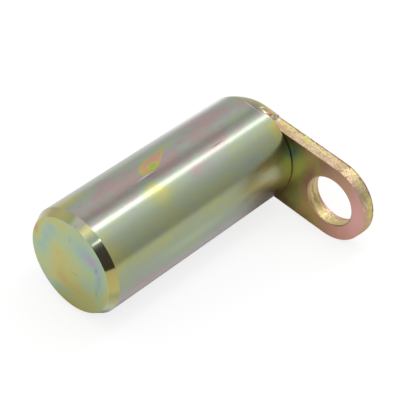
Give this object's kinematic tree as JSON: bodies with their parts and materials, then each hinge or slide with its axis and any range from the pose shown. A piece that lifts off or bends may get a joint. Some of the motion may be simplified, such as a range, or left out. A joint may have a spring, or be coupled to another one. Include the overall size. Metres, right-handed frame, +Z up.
{
  "type": "tilt pin",
  "caption": "Turned round pin with a lead-in chamfer and a welded keeper plate, pierced for a bolt, that holds it from turning and sliding out.",
  "frame": {"origin": "on the pin's axis, in the keeper plate's seating face, where the pin stands on it", "axes": "+X along the pin to its free end, +Z up as the part lies on its side, the keeper plate's flag reaching out along +Y and drooping until its round end touches down"},
  "size_m": [0.071, 0.0549, 0.03],
  "materials": {
    "turned_bar": "fine-turned steel, yellow-chromated zinc plate: pale straw with green and mauve tints, bright",
    "blanked_plate": "blanked sheet steel, yellow-chromated zinc plate: olive to straw and pink, satin on the faces, speckled on the sheared edge",
    "weld_bead": "smooth weld bead under the same zinc plate: olive and tan"
  },
  "bodies": {
    "root": {"pin": "turned_bar", "keeper_plate": "blanked_plate", "head_weld": "weld_bead"}
  },
  "joints": []
}
